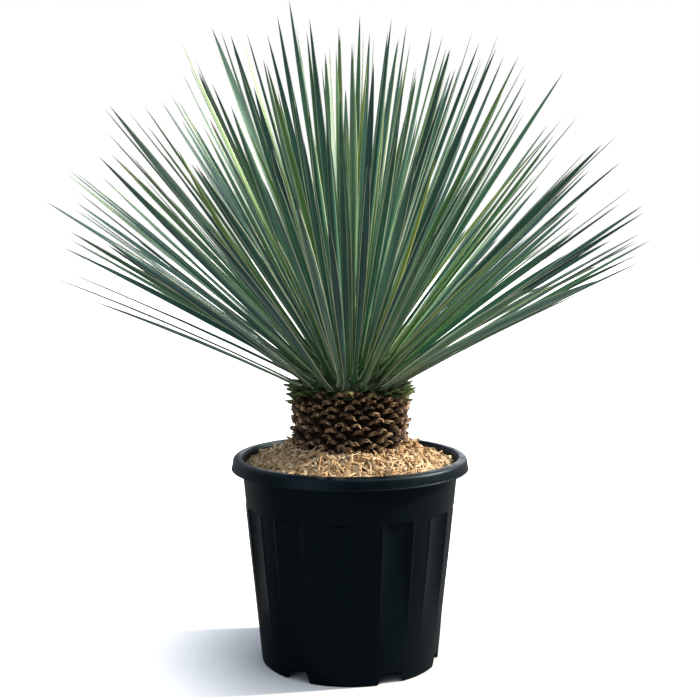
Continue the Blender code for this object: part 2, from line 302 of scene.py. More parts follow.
def new_piece(name):
    """Names the primitive that was just added, puts its place into its mesh, and opens it for editing
    with all of it selected."""
    obj = bpy.context.active_object
    obj.name = name
    obj.data.name = name
    pick_only(obj)
    bpy.ops.object.transform_apply(location=True, rotation=True, scale=True)
    bpy.ops.object.mode_set(mode="EDIT")
    select_all()
    return obj


def new_section(name, sides, place=(0, 0, 0)):
    """Opens a filled regular section, one unit across and upright in the XZ plane."""
    bpy.ops.mesh.primitive_circle_add(
        vertices=sides, radius=0.5, fill_type="NGON", location=place, rotation=(math.pi / 2, 0, 0))
    return new_piece(name)


def select_points(obj, test):
    """In edit mode, selects just the vertices whose place passes the test."""
    bpy.ops.mesh.select_mode(type="VERT")
    bm = bmesh.from_edit_mesh(obj.data)
    for vertex in bm.verts:
        vertex.select = bool(test(vertex.co))
    bm.select_flush_mode()
    bmesh.update_edit_mesh(obj.data)


def stretch(size, centre=(0.0, 0.0, 0.0)):
    bpy.ops.transform.resize(value=size, center_override=centre)


def extrude_along(stations):
    """Draws the selected section out along +Y, from each station to the next."""
    for before, station in zip(stations, stations[1:]):
        out, width, depth, rise = station
        step = (0.0, out - before[0], rise - before[3])
        bpy.ops.mesh.extrude_region_move(TRANSFORM_OT_translate={"value": step})
        size = (width / before[1], 1.0, depth / before[2])
        stretch(size, (0.0, out, rise))


def face_outwards():
    """Turns every face outwards, in edit mode."""
    select_all()
    bpy.ops.mesh.normals_make_consistent(inside=False)


def close_piece(obj):
    bpy.ops.object.mode_set(mode="OBJECT")
    obj.select_set(False)
    return obj


def dress(obj, material, node, sharp=30):
    """Gives a finished piece its material and its place in the frame."""
    obj.data.materials.clear()
    obj.data.materials.append(material)
    pick_only(obj)
    bpy.ops.object.shade_smooth_by_angle(angle=math.radians(sharp))
    obj.select_set(False)
    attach(obj, "root")
    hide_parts(node)


def smooth_step(low, high, value):
    share = np.clip((value - low) / (high - low), 0.0, 1.0)
    return share * share * (3 - 2 * share)


# Copies of a modelled pattern

def read(items, name, kind, width=1):
    values = np.empty(len(items) * width, dtype=kind)
    items.foreach_get(name, values)
    return values


def read_points(obj):
    return read(obj.data.vertices, "co", float, 3).reshape(-1, 3)


class Pattern:
    """A small mesh read into arrays, so that many bent copies of it can be set out."""

    def __init__(self, obj):
        self.points = read_points(obj)
        self.corners = read(obj.data.loops, "vertex_index", np.int32)
        self.starts = read(obj.data.polygons, "loop_start", np.int32)
        self.uv = self.points[:, :2].copy()
        bpy.data.objects.remove(obj)


def set_out(name, pattern, placed, **shades):
    """Makes one mesh of all the copies. placed is (copies, points, 3). A shade is a number for each."""
    copies, size, _ = placed.shape
    mesh = bpy.data.meshes.new(name)
    mesh.vertices.add(copies * size)
    mesh.loops.add(copies * len(pattern.corners))
    mesh.polygons.add(copies * len(pattern.starts))
    shift = np.arange(copies, dtype=np.int32)[:, None]
    mesh.vertices.foreach_set("co", placed.astype(np.float32).ravel())
    mesh.loops.foreach_set("vertex_index", (pattern.corners + shift * size).ravel())
    mesh.polygons.foreach_set("loop_start", (pattern.starts + shift * len(pattern.corners)).ravel())
    mesh.update(calc_edges=True)
    layer = mesh.uv_layers.new(name="along")
    layer.data.foreach_set("uv", np.tile(pattern.uv[pattern.corners], (copies, 1)).ravel())
    for shade, values in shades.items():
        attribute = mesh.attributes.new(shade, "FLOAT", "POINT")
        attribute.data.foreach_set("value", np.repeat(np.asarray(values, dtype=np.float32), size))
    mesh.validate()
    obj = bpy.data.objects.new(name, mesh)
    bpy.context.scene.collection.objects.link(obj)
    return obj


def around(azimuth, radius, height):
    """The point at an azimuth, a radius and a height."""
    return Vector((radius * math.sin(azimuth), -radius * math.cos(azimuth), height))


# Pot

def body_radius(height):
    """Outer radius of the pot's tapered body beside the flutes."""
    return FOOT_RADIUS + (BODY_TOP_RADIUS - FOOT_RADIUS) * height / (POT_HEIGHT - LIP_HEIGHT)


def pot_profile():
    """The pot's section, from the foot up the outside, over the lip and down the inside.
    Each corner is its radius, its height and how far it is rounded."""
    under_rim = POT_HEIGHT - WALL
    lip_bottom = POT_HEIGHT - LIP_HEIGHT
    floor_top = FLOOR_HEIGHT + WALL
    corners = [(body_radius(0.0), 0.0, FOOT_ROUNDING)]
    corners += [(body_radius(level), level, 0.0) for level in WALL_LEVELS]
    corners += [
        (BODY_TOP_RADIUS, under_rim, SHOULDER_ROUNDING),
        (RIM_RADIUS - WALL, under_rim, UNDER_LIP_ROUNDING),
        (RIM_RADIUS - WALL, lip_bottom, LIP_EDGE_ROUNDING),
        (RIM_RADIUS + LIP_BEAD, lip_bottom, LIP_EDGE_ROUNDING),
        (RIM_RADIUS + LIP_BEAD, lip_bottom + 2 * LIP_BEAD, BEAD_ROUNDING),
        (RIM_RADIUS, lip_bottom + 4 * LIP_BEAD, BEAD_ROUNDING),
        (RIM_RADIUS - LIP_LEAN, POT_HEIGHT, RIM_ROUNDING),
        (RIM_INNER_RADIUS, POT_HEIGHT, RIM_INNER_ROUNDING),
    ]
    corners += [(body_radius(level) - WALL, level, 0.0) for level in INNER_LEVELS]
    corners += [
        (body_radius(floor_top) - WALL, floor_top, FLOOR_ROUNDING),
        (DRAIN_RADIUS, floor_top, DRAIN_ROUNDING),
        (DRAIN_RADIUS, FLOOR_HEIGHT, DRAIN_ROUNDING),
        (body_radius(FLOOR_HEIGHT) - FOOT_WIDTH, FLOOR_HEIGHT, UNDERSIDE_ROUNDING),
        (body_radius(0.0) - FOOT_WIDTH, 0.0, FOOT_ROUNDING),
    ]
    return corners


def spin_section(name, corners, steps):
    """Draws a closed section in the XZ plane, point by point, rounds its corners and spins it upright
    into a closed ring."""
    radius, height, _ = corners[0]
    bpy.ops.mesh.primitive_plane_add(size=SPECK, location=(radius, 0.0, height))
    obj = new_piece(name)
    bpy.ops.mesh.merge(type="CENTER")
    for before, corner in zip(corners, corners[1:]):
        step = (corner[0] - before[0], 0.0, corner[1] - before[1])
        bpy.ops.mesh.extrude_vertices_move(TRANSFORM_OT_translate={"value": step})
    ends = (corners[0], corners[-1])
    select_points(obj, lambda co: any(math.dist((co.x, co.z), end[:2]) < SAME_PLACE for end in ends))
    bpy.ops.mesh.edge_face_add()
    for radius, height, rounding in corners:
        if rounding:
            select_points(obj, lambda co: math.dist((co.x, co.z), (radius, height)) < SAME_PLACE)
            bpy.ops.mesh.bevel(offset=rounding, segments=ROUNDING_STEPS, affect="VERTICES")
    select_all()
    bpy.ops.mesh.spin(steps=steps, angle=math.tau, center=(0, 0, 0), axis=(0, 0, 1))
    select_all()
    bpy.ops.mesh.remove_doubles(threshold=SAME_PLACE)
    face_outwards()
    return close_piece(obj)


def press_flutes(obj):
    """Crowds the spun columns at the flutes' sides, presses in the flutes and lifts the foot's notches."""
    x, y, z = read_points(obj).T
    radius = np.hypot(x, y)
    column = np.round(np.arctan2(x, -y) / math.tau * FLUTE_COUNT * STEPS_PER_FLUTE).astype(int)
    step = (column + STEPS_PER_FLUTE // 2) % STEPS_PER_FLUTE - STEPS_PER_FLUTE // 2
    flute = (column - step) // STEPS_PER_FLUTE
    offset = np.interp(np.abs(step), COLUMN_STEPS, COLUMN_ANGLES)
    azimuth = FLUTE_PHASE + flute * math.tau / FLUTE_COUNT + np.radians(offset * np.sign(step))

    wall = radius > body_radius(0.0) - 2 * FOOT_WIDTH
    fade = smooth_step(FLUTE_FOOT, FLUTE_FULL, z) * (1 - smooth_step(FLUTE_TOP, BAND_BOTTOM, z))
    arc = np.clip(1 - (offset / FLUTE_EDGE_ANGLE) ** 2, 0.0, 1.0)
    ridge = np.clip(1 - np.abs(offset - RIDGE_ANGLE) / RIDGE_HALF_ANGLE, 0.0, 1.0)
    radius = radius - np.where(wall, (FLUTE_DEPTH * arc - RIDGE_HEIGHT * ridge) * fade, 0.0)

    from_notch = np.abs((np.degrees(azimuth)[:, None] - NOTCH_AZIMUTHS + 180) % 360 - 180).min(axis=1)
    notch = 1 - smooth_step(NOTCH_TOP_ANGLE, NOTCH_EDGE_ANGLE, from_notch)
    in_foot = wall & (z < FLOOR_HEIGHT - SAME_PLACE)
    lift = np.where(in_foot, NOTCH_HEIGHT * notch * (1 - z / FLOOR_HEIGHT), 0.0)
    radius = radius + lift * (BODY_TOP_RADIUS - FOOT_RADIUS) / (POT_HEIGHT - LIP_HEIGHT)
    moved = np.stack((radius * np.sin(azimuth), -radius * np.cos(azimuth), z + lift), axis=1)
    obj.data.vertices.foreach_set("co", moved.ravel())
    obj.data.update()


def drill_drains(obj):
    """Cuts the ring of drain holes through the raised floor."""
    cutters = []
    for i in range(DRAIN_COUNT):
        place = around(math.tau * i / DRAIN_COUNT, DRAIN_CIRCLE, FLOOR_HEIGHT)
        bpy.ops.mesh.primitive_cylinder_add(
            vertices=DRAIN_SIDES, radius=DRAIN_RADIUS, depth=4 * WALL, location=place)
        cutters.append(bpy.context.active_object)
    bpy.ops.object.select_all(action="DESELECT")
    for cutter in cutters:
        cutter.select_set(True)
    bpy.ops.object.join()
    cutter = bpy.context.active_object
    pick_only(obj)
    drains = obj.modifiers.new("drains", "BOOLEAN")
    drains.operation = "DIFFERENCE"
    drains.solver = "MANIFOLD"
    drains.object = cutter
    bpy.ops.object.modifier_apply(modifier=drains.name)
    bpy.data.objects.remove(cutter)


def build_pot():
    obj = spin_section("pot_shell", pot_profile(), FLUTE_COUNT * STEPS_PER_FLUTE)
    press_flutes(obj)
    drill_drains(obj)
    return obj


# Mulch

def mulch_share(radius):
    """How far a radius lies on the way from the pot's wall to the trunk, from 0 to 1."""
    outer = body_radius(SOIL_TOP) - WALL
    return np.clip((outer - radius) / (outer - TRUNK_RADIUS), 0.0, 1.0)


def mulch_height(radius):
    swell = (1 - np.cos(math.pi * mulch_share(radius))) / 2
    return MULCH_WALL_HEIGHT + (MULCH_TRUNK_HEIGHT - MULCH_WALL_HEIGHT) * swell


def mulch_slope(radius):
    """The mound's fall a metre outwards."""
    outer = body_radius(SOIL_TOP) - WALL
    steep = math.pi / 2 * np.sin(math.pi * mulch_share(radius))
    return (MULCH_TRUNK_HEIGHT - MULCH_WALL_HEIGHT) * steep / (outer - TRUNK_RADIUS)


def build_mulch_bed():
    """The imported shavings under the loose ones: a lumpy ring from the pot's wall to the trunk."""
    base = SOIL_TOP + SOIL_GAP
    outer = body_radius(base) - WALL - WALL_GAP
    inner = CORE_RADIUS - BED_TUCK
    corners = [(outer, base, 0.0)]
    for i in range(BED_RINGS + 1):
        radius = outer + (inner - outer) * i / BED_RINGS
        corners.append((radius, float(mulch_height(radius)) - BED_DEPTH, 0.0))
    corners.append((inner, base, 0.0))
    obj = spin_section("mulch_bed", corners, BED_STEPS)
    for vertex in obj.data.vertices:
        if vertex.co.z > base + BED_FOOT:
            vertex.co.z += sum(noise.noise(vertex.co * fine) * height for fine, height in BED_LUMPS)
    return obj


def model_shaving(turn, steps, rise, across, along_axis):
    """A thin curled shaving one unit long: a flat four-sided strip spun round an axis beside it."""
    radius = 1 / turn
    obj = new_section("shaving", 4, (radius, 0, 0))
    stretch((across, 1.0, along_axis), (radius, 0, 0))
    bpy.ops.mesh.spin(steps=steps, angle=turn, center=(0, 0, 0), axis=(0, 0, 1))
    face_outwards()
    close_piece(obj)
    for vertex in obj.data.vertices:
        angle = math.atan2(vertex.co.y, vertex.co.x) % math.tau
        vertex.co.z += rise * angle / turn
    return obj


def shaving_pattern(turn, steps, rise, across, along_axis):
    pattern = Pattern(model_shaving(turn, steps, rise, across, along_axis))
    x, y, z = pattern.points.T
    share = np.arctan2(y, x) % math.tau / turn
    pattern.uv = np.stack((np.hypot(x, y) * turn - 1 + z - rise * share, share), axis=1)
    pattern.points -= pattern.points.mean(axis=0)
    return pattern


def turned(angles, first, second):
    """Matrices that turn one axis towards another, one for each angle, (copies, 3, 3)."""
    made = np.tile(np.eye(3), (len(angles), 1, 1))
    made[:, first, first] = np.cos(angles)
    made[:, second, second] = np.cos(angles)
    made[:, first, second] = -np.sin(angles)
    made[:, second, first] = np.sin(angles)
    return made


def turns(yaw, pitch, roll):
    """Matrices that roll about Y, then pitch about X, then yaw about Z."""
    return turned(yaw, 0, 1) @ turned(pitch, 1, 2) @ turned(roll, 2, 0)


def scatter_shavings(pattern, count, draw, length, lean, tilt):
    """Lays copies of a shaving over the mound, and returns their vertices and a shade for each."""
    inner = TRUNK_RADIUS + SHAVING_TRUNK_MARGIN
    outer = body_radius(MULCH_WALL_HEIGHT) - WALL - SHAVING_WALL_MARGIN
    radius = np.sqrt(draw.uniform(inner ** 2, outer ** 2, count))
    azimuth = draw.uniform(0, math.tau, count)
    size = draw.uniform(*length, count)
    thick = draw.uniform(*SHAVING_THICKNESS, count)
    yaw = draw.uniform(0, math.tau, count)
    pitch = draw.normal(lean, tilt, count)
    roll = draw.normal(0, SHAVING_ROLL, count)
    scale = np.stack((size, size, size * thick), axis=1)
    local = np.einsum("cij,cpj->cpi", turns(yaw, pitch, roll), pattern.points[None] * scale[:, None, :])
    outward = np.stack((np.sin(azimuth), -np.cos(azimuth)), axis=1)
    reach = np.einsum("cpi,ci->cp", local[:, :, :2], outward)
    sunk = SHAVING_DEPTH_AT_WALL + (SHAVING_DEPTH_AT_TRUNK - SHAVING_DEPTH_AT_WALL) * mulch_share(radius)
    piled = SHAVING_PILE * draw.uniform(0, 1, count) ** SHAVING_PILE_POWER
    height = mulch_height(radius) - sunk + piled
    placed = local.copy()
    placed[:, :, :2] += (outward * radius[:, None])[:, None, :]
    placed[:, :, 2] += height[:, None] - reach * mulch_slope(radius)[:, None]
    far = np.hypot(placed[:, :, 0], placed[:, :, 1])
    limit = body_radius(placed[:, :, 2]) - WALL - WALL_GAP
    over = np.maximum((far - limit).max(axis=1), 0.0)
    placed[:, :, :2] -= (outward * over[:, None])[:, None, :]
    return placed, draw.uniform(0, 1, count)


def build_shavings():
    draw = np.random.default_rng(SHAVING_SEED)
    pieces = []
    for number, kind in enumerate(SHAVING_KINDS, start=1):
        pattern = shaving_pattern(*kind[:5])
        count, shortest, longest, lean, tilt = kind[5:]
        placed, shade = scatter_shavings(pattern, count, draw, (shortest, longest), lean, tilt)
        pieces.append(set_out(f"shavings_{number}", pattern, placed, shade=shade))
    return pieces


# Trunk

def model_tongue(stations, inset, hollow):
    """A cut leaf base one unit long, arched above, hollow below, with a sunk face at its end."""
    obj = new_section("tongue", TONGUE_SIDES)
    select_points(obj, lambda co: co.z < -OFF_MIDDLE)
    stretch(TONGUE_UNDERSIDE)
    select_all()
    extrude_along(stations)
    bpy.ops.mesh.inset(thickness=inset)
    bpy.ops.transform.translate(value=(0.0, -hollow, 0.0))
    face_outwards()
    return close_piece(obj)


def tongue_pattern(stations, inset, hollow):
    """The tongue as a pattern. Its map runs on past 1 in the hollow of the cut."""
    pattern = Pattern(model_tongue(stations, inset, hollow))
    pattern.uv[-TONGUE_SIDES:, 1] = HOLLOW_MAP
    return pattern


def freshness(azimuth, height):
    """How green a leaf base is, from 0 to 1: brown low down, green near the crown, browner in front."""
    start = GREEN_START + BROWN_FRONT_RISE * max(math.cos(azimuth), 0.0) ** 2
    return min(max((height - start) / GREEN_BLEND, 0.0), 1.0)


def place_tongues(pattern, plan, seed):
    """Sets tongues round the stem, each with its own slanted cut and a little wear. A row of the plan is
    azimuth, height, root radius, length, width, thickness, tilt, roll, sideways turn and pointedness."""
    draw = np.random.default_rng(seed)
    azimuth, height, root, length, width, thickness, tilt, roll, turn, point = plan.T
    points = np.repeat(pattern.points[None], len(plan), axis=0)
    near_tip = np.clip(points[:, :, 1], 0, 1) ** 3
    slant, skew = draw.uniform(*CUT_SLANT, (2, len(plan), 1))
    points[:, :, 1] += near_tip * (slant * points[:, :, 2] + skew * points[:, :, 0] * SKEW_SHARE)
    points += draw.normal(0, TONGUE_WEAR, points.shape) * (1 + 2 * near_tip[:, :, None])
    points[:, :, 0] *= 1 - point[:, None] * near_tip
    points *= np.stack((width, length, thickness), axis=1)[:, None, :]
    facing = turns(azimuth + math.pi + turn, tilt, roll)
    placed = np.einsum("cij,cpj->cpi", facing, points)
    seat = np.stack((root * np.sin(azimuth), -root * np.cos(azimuth), height), axis=1)
    return placed + seat[:, None, :]


def set_tongues(name, pattern, plan, seed, darkest=0.0):
    """Sets out the tongues of a plan, each with a shade from the darkest up and its own freshness."""
    plan = np.array(plan)
    draw = np.random.default_rng(seed)
    shade = darkest + (1 - darkest) * draw.uniform(0, 1, len(plan))
    fresh = [freshness(*row[:2]) for row in plan]
    fresh = np.clip(fresh + np.sign(fresh) * draw.uniform(*GREEN_JITTER, len(plan)), 0.0, 1.0)
    return set_out(name, pattern, place_tongues(pattern, plan, seed), shade=shade, fresh=fresh)


def build_leaf_bases(name, rows, lowest, pitch, seed):
    """Rows of cut leaf bases, each row set between those of the last: thick where dry, long where green."""
    draw = random.Random(seed)
    plan = []
    for row in range(rows):
        for column in range(BASE_COLUMNS):
            aside = column + row * 0.5 + draw.uniform(-BASE_SIDE_JITTER, BASE_SIDE_JITTER)
            azimuth = aside * math.tau / BASE_COLUMNS
            height = lowest + row * pitch + draw.uniform(-BASE_HEIGHT_JITTER, BASE_HEIGHT_JITTER)
            size = [draw.uniform(*ends) for ends in BASE_SIZES]
            tilt, roll, turn = (draw.uniform(*ends) for ends in BASE_TURNS)
            fresh = freshness(azimuth, height)
            size = [share + gain * fresh for share, gain in zip(size, GREEN_GAINS)]
            roll *= 1 - GREEN_ROLL_LOSS * fresh
            root = CORE_RADIUS - BASE_SINK
            plan.append((azimuth, height, root, *size, tilt, roll, turn, GREEN_POINT * fresh))
    return set_tongues(name, tongue_pattern(BASE_STATIONS, *BASE_CUT), plan, seed)


def build_husks():
    """Wide papery old leaf bases round the stem's foot, half buried in the shavings."""
    draw = random.Random(HUSK_SEED)
    plan = []
    for number in range(HUSK_COUNT):
        aside = number + draw.uniform(-HUSK_SIDE_JITTER, HUSK_SIDE_JITTER)
        height = HUSK_HEIGHT + draw.uniform(*HUSK_HEIGHT_JITTER)
        size_and_turn = [draw.uniform(*ends) for ends in HUSK_SIZES + HUSK_TURNS]
        plan.append((aside * math.tau / HUSK_COUNT, height, CORE_RADIUS + HUSK_LIFT, *size_and_turn, 0.0))
    pattern = tongue_pattern(HUSK_STATIONS, *HUSK_CUT)
    return set_tongues("foot_husks", pattern, plan, HUSK_SEED, DARKEST_HUSK)


def build_core():
    """The dark stem behind the scales, from the soil up to the crown's heart."""
    height = CORE_TOP - SOIL_TOP
    middle = (0, 0, (CORE_TOP + SOIL_TOP) / 2)
    bpy.ops.mesh.primitive_cylinder_add(
        vertices=CORE_SIDES, radius=CORE_RADIUS, depth=height, location=middle)
    obj = new_piece("stem_core")
    for i in range(1, CORE_LEVELS):
        select_all()
        level = SOIL_TOP + height * i / CORE_LEVELS
        bpy.ops.mesh.bisect(plane_co=(0, 0, level), plane_no=(0, 0, 1))
    close_piece(obj)
    for vertex in obj.data.vertices:
        dent = 1 + noise.noise(vertex.co * CORE_DENT_FINENESS) * CORE_DENT
        vertex.co.x *= dent
        vertex.co.y *= dent
    return obj


# Leaves

def model_blade():
    """A blade one unit long, wide and deep: a channel above, a keel below and a needle tip."""
    obj = new_section("blade", 6)
    select_points(obj, lambda co: abs(co.x) > OFF_MIDDLE and co.z > 0)
    stretch((MARGIN_SPREAD, 1, 0))
    select_points(obj, lambda co: abs(co.x) > OFF_MIDDLE and co.z < -OFF_MIDDLE)
    stretch(LOWER_SIDES)
    select_points(obj, lambda co: abs(co.x) < OFF_MIDDLE and co.z < 0)
    bpy.ops.transform.translate(value=(0, 0, -KEEL_DROP))
    select_points(obj, lambda co: abs(co.x) < OFF_MIDDLE and co.z > 0)
    bpy.ops.transform.translate(value=(0, 0, -CHANNEL_DROP))
    select_all()
    _, width, depth = BLADE_STATIONS[0]
    stretch((width, 1, depth))
    extrude_along([(*station, 0.0) for station in BLADE_STATIONS])
    bpy.ops.mesh.merge(type="CENTER")
    face_outwards()
    return close_piece(obj)


def elevation_at(lowest, share):
    """Spreads blades evenly over a dome, from its lowest elevation up to its top."""
    return math.asin(math.sin(lowest) + (1 - math.sin(lowest)) * share)


def plan_blades():
    """Root, direction, across, length, width and bend of each blade, outermost first."""
    draw = random.Random(BLADE_SEED)

    def jitter(size):
        return draw.uniform(-size, size)

    for k in range(BLADE_COUNT):
        share = (k + 0.5) / BLADE_COUNT
        azimuth = k * GOLDEN_ANGLE + jitter(DIRECTION_JITTER)
        seat = elevation_at(LOWEST_SEAT, share)
        root = CROWN_CENTRE + BLADE_ROOT * around(azimuth, math.cos(seat), math.sin(seat))
        lowest = LOWEST_ELEVATION + LIFT_FRONT_AND_BACK * math.cos(azimuth) ** 2
        elevation = elevation_at(lowest, share) + jitter(DIRECTION_JITTER)
        direction = around(azimuth, math.cos(elevation), math.sin(elevation))
        level_line = Vector((math.cos(azimuth), math.sin(azimuth), 0.0))
        across = Matrix.Rotation(jitter(TWIST_JITTER), 3, direction) @ level_line
        reach = OUTER_REACH + (INNER_REACH - OUTER_REACH) * math.sqrt(share)
        droop = Vector((0.0, 0.0, -BLADE_DROOP * (1 - share)))
        bow = across.cross(direction) * jitter(BLADE_BOW) + across * jitter(BLADE_BOW)
        length = reach * (1 + jitter(REACH_JITTER)) - BLADE_ROOT
        width = BLADE_WIDTH * (1 + jitter(WIDTH_JITTER))
        yield root, direction, across, length, width, droop + bow


def settle(number, blade, draw):
    """Lets neighbours lean together in clumps, rolls each blade, staggers their feet and shortens some."""
    root, direction, across, length, width, bend = blade
    lean = noise.noise_vector(direction * CLUMP_FINENESS) * CLUMP_LEAN
    leaning = (direction + lean).normalized()
    leaning.z = max(leaning.z, LEAST_RISE)
    leaning.normalize()
    roll = Matrix.Rotation(draw.uniform(-ROLL_SPREAD, ROLL_SPREAD), 3, leaning)
    across = roll @ (direction.rotation_difference(leaning) @ across)
    root = root + Vector((0.0, 0.0, SEAT_STAGGER * (number % 2)))
    length *= LONGEST_GAIN - draw.beta(*SHORTNESS_SHAPE) * SHORTEST_LOSS
    return root, leaning, across, length, width * draw.uniform(*WIDTH_SPREAD), bend


def plan_strays(blades, draw):
    """A few thin bowed blades that cross the others: each starts as one of them, though none of the
    outermost quarter, and leaves its line."""
    for _ in range(STRAY_COUNT):
        start = draw.integers(len(blades) // 4, len(blades))
        root, direction, across, length, width, bend = blades[start]
        turn = draw.uniform(-STRAY_SPREAD, STRAY_SPREAD)
        direction = Matrix.Rotation(turn, 3, across.cross(direction)) @ direction
        bow = Vector(across) * (math.copysign(STRAY_BOW, turn) * draw.uniform(*STRAY_BOW_SHARE))
        length = length * draw.uniform(*STRAY_LENGTH)
        yield root, direction, across, length, width * STRAY_WIDTH, bend + bow


def bend_blades(pattern, blades, twist):
    """Bends a copy of the blade pattern along each blade's line."""
    root, direction, across = (np.array([blade[i] for blade in blades])[:, None, :] for i in range(3))
    length, width = (np.array([blade[i] for blade in blades])[:, None, None] for i in (3, 4))
    bend = np.array([blade[5] for blade in blades])[:, None, :]
    upper = np.cross(direction, across)
    x, y, z = (pattern.points[None, :, i, None] for i in range(3))
    turn = twist[:, None, None] * y
    sideways = across * np.cos(turn) + upper * np.sin(turn)
    upwards = upper * np.cos(turn) - across * np.sin(turn)
    line = root + direction * length * y + bend * y ** 2
    return line + sideways * x * width + upwards * z * BLADE_DEPTH


def build_leaves():
    pattern = Pattern(model_blade())
    out, wide, _ = zip(*BLADE_STATIONS)
    pattern.uv[:, 0] = pattern.uv[:, 0] / np.interp(pattern.points[:, 1], out, wide) + 0.5
    draw = np.random.default_rng(BLADE_SEED)
    noise.seed_set(CLUMP_SEED)
    blades = [settle(number, blade, draw) for number, blade in enumerate(plan_blades())]
    kept = [number for number, (_, direction, *_) in enumerate(blades)
            if noise.noise(direction * GAP_FINENESS) > GAP_LEVEL]
    blades = [blades[number] for number in kept]
    blades += list(plan_strays(blades, draw))
    age = np.append(1 - np.array(kept) / BLADE_COUNT, np.full(STRAY_COUNT, STRAY_AGE))
    count = len(blades)
    twist = draw.normal(0, TWIST_SPREAD, count)
    young = YOUNG_SHADE_GAIN * (1 - age) ** YOUNG_SHADE_POWER
    shade = np.clip(OLDEST_SHADE + young + draw.normal(0, SHADE_SPREAD, count), 0, 1)
    shade[-STRAY_COUNT:] = draw.uniform(*STRAY_SHADE, STRAY_COUNT)
    waxy = draw.uniform(0, 1, count) < WAXY_SHARE
    shades = {
        "shade": shade,
        "age": age,
        "bloom": np.where(waxy, draw.uniform(*WAXY_BLOOM, count), draw.beta(*BLOOM_SHAPE, count)),
        "dry": np.clip(draw.exponential(MEAN_DRYNESS, count), 0, 1),
        "edge": draw.beta(*EDGE_SHAPE, count),
    }
    placed = bend_blades(pattern, blades, twist)
    pieces = []
    third = count // 3
    cuts = (0, third, 2 * third, count)
    for name, start, end in zip(("leaves_outer", "leaves_middle", "leaves_inner"), cuts, cuts[1:]):
        own = {shade: values[start:end] for shade, values in shades.items()}
        pieces.append(set_out(name, pattern, placed[start:end], **own))
    return pieces


def build_heart():
    """The round green heart that the leaves grow from."""
    bpy.ops.mesh.primitive_uv_sphere_add(
        segments=2 * HEART_RINGS, ring_count=HEART_RINGS, radius=HEART_RADIUS, location=CROWN_CENTRE)
    obj = new_piece("crown_heart")
    bpy.ops.mesh.bisect(
        plane_co=(0, 0, CORE_TOP - HEART_TUCK), plane_no=(0, 0, 1), clear_inner=True, use_fill=True)
    face_outwards()
    return close_piece(obj)


# Materials

def set_inputs(tree, node, inputs):
    """Sets a node's inputs, each to a value or to another node's output."""
    for socket, value in inputs.items():
        if isinstance(value, bpy.types.NodeSocket):
            tree.links.new(value, node.inputs[socket])
        else:
            node.inputs[socket].default_value = value


def add_node(tree, kind, inputs=None, **settings):
    made = tree.nodes.new("ShaderNode" + kind)
    for name, value in settings.items():
        setattr(made, name, value)
    set_inputs(tree, made, inputs or {})
    return made


def part_of(tree, vector, axis):
    return add_node(tree, "SeparateXYZ", {0: vector}).outputs[axis]


def maths(tree, operation, *values):
    node = add_node(tree, "Math", dict(enumerate(values)), operation=operation)
    return node.outputs[0]


def plus(tree, first, second):
    return maths(tree, "ADD", first, second)


def minus(tree, first, second):
    return maths(tree, "SUBTRACT", first, second)


def times(tree, first, second):
    return maths(tree, "MULTIPLY", first, second)


def step_between(tree, value, low, high, start=0.0, end=1.0):
    """A soft step from start to end as the value goes from low to high."""
    inputs = {"Value": value, "From Min": low, "From Max": high, "To Min": start, "To Max": end}
    return add_node(tree, "MapRange", inputs, interpolation_type="SMOOTHSTEP").outputs["Result"]


def mix_colours(tree, factor, first, second, blend="MIX"):
    inputs = {"Factor": factor, 6: first, 7: second}
    return add_node(tree, "Mix", inputs, data_type="RGBA", blend_type=blend).outputs[2]


def lighten(tree, colour, level):
    """The colour times a level of lightness."""
    grey = add_node(tree, "CombineColor", {0: level, 1: level, 2: level}).outputs[0]
    return mix_colours(tree, 1.0, colour, grey, "MULTIPLY")


def colour_ramp(tree, value, *stops):
    """A ramp with a stop for each (place, colour)."""
    ramp = add_node(tree, "ValToRGB", {"Fac": value})
    elements = ramp.color_ramp.elements
    while len(elements) < len(stops):
        elements.new(0.5)
    for element, (place, colour) in zip(elements, stops):
        element.position = place
        element.color = (*colour, 1.0)
    return ramp.outputs["Color"]


def noise_value(tree, vector, scale, detail=3.0, roughness=0.55):
    inputs = {"Vector": vector, "Scale": scale, "Detail": detail, "Roughness": roughness}
    return add_node(tree, "TexNoise", inputs).outputs["Fac"]


def new_group(name, place, values):
    """A node group that makes one value of a place and some values. Returns it with its inputs."""
    group = bpy.data.node_groups.new(name, "ShaderNodeTree")
    group.interface.new_socket(place, in_out="INPUT", socket_type="NodeSocketVector")
    for value in values:
        group.interface.new_socket(value, in_out="INPUT", socket_type="NodeSocketFloat")
    group.interface.new_socket("Value", in_out="OUTPUT", socket_type="NodeSocketFloat")
    return group, group.nodes.new("NodeGroupInput").outputs


def end_group(group, value):
    group.links.new(value, group.nodes.new("NodeGroupOutput").inputs["Value"])
    return group


def make_fibre_group():
    """Fine fibres that run along a leaf or a strip of wood: how light each place is, from 0 to 1."""
    group, given = new_group("fibres along the length", "Along", ("Fineness", "Stretch", "Shade"))
    across = times(group, part_of(group, given["Along"], "X"), given["Fineness"])
    down = times(group, part_of(group, given["Along"], "Y"), given["Stretch"])
    own = times(group, given["Shade"], SHADE_SHIFT)
    place = add_node(group, "CombineXYZ", {"X": across, "Y": down, "Z": own})
    return end_group(group, noise_value(group, place.outputs[0], 1.0, 4.0, 0.6))


def make_speckle_group():
    """Two sizes of cloudy patches mixed, for dust, stains and uneven colour, from 0 to 1."""
    group, given = new_group("cloudy patches", "Place", ("Coarse", "Fine", "Balance"))
    coarse, fine = (noise_value(group, given["Place"], given[size]) for size in ("Coarse", "Fine"))
    inputs = {"Factor": given["Balance"], "A": coarse, "B": fine}
    return end_group(group, add_node(group, "Mix", inputs, data_type="FLOAT").outputs[0])


def use_group(tree, group, **inputs):
    return add_node(tree, "Group", inputs, node_tree=group).outputs[0]


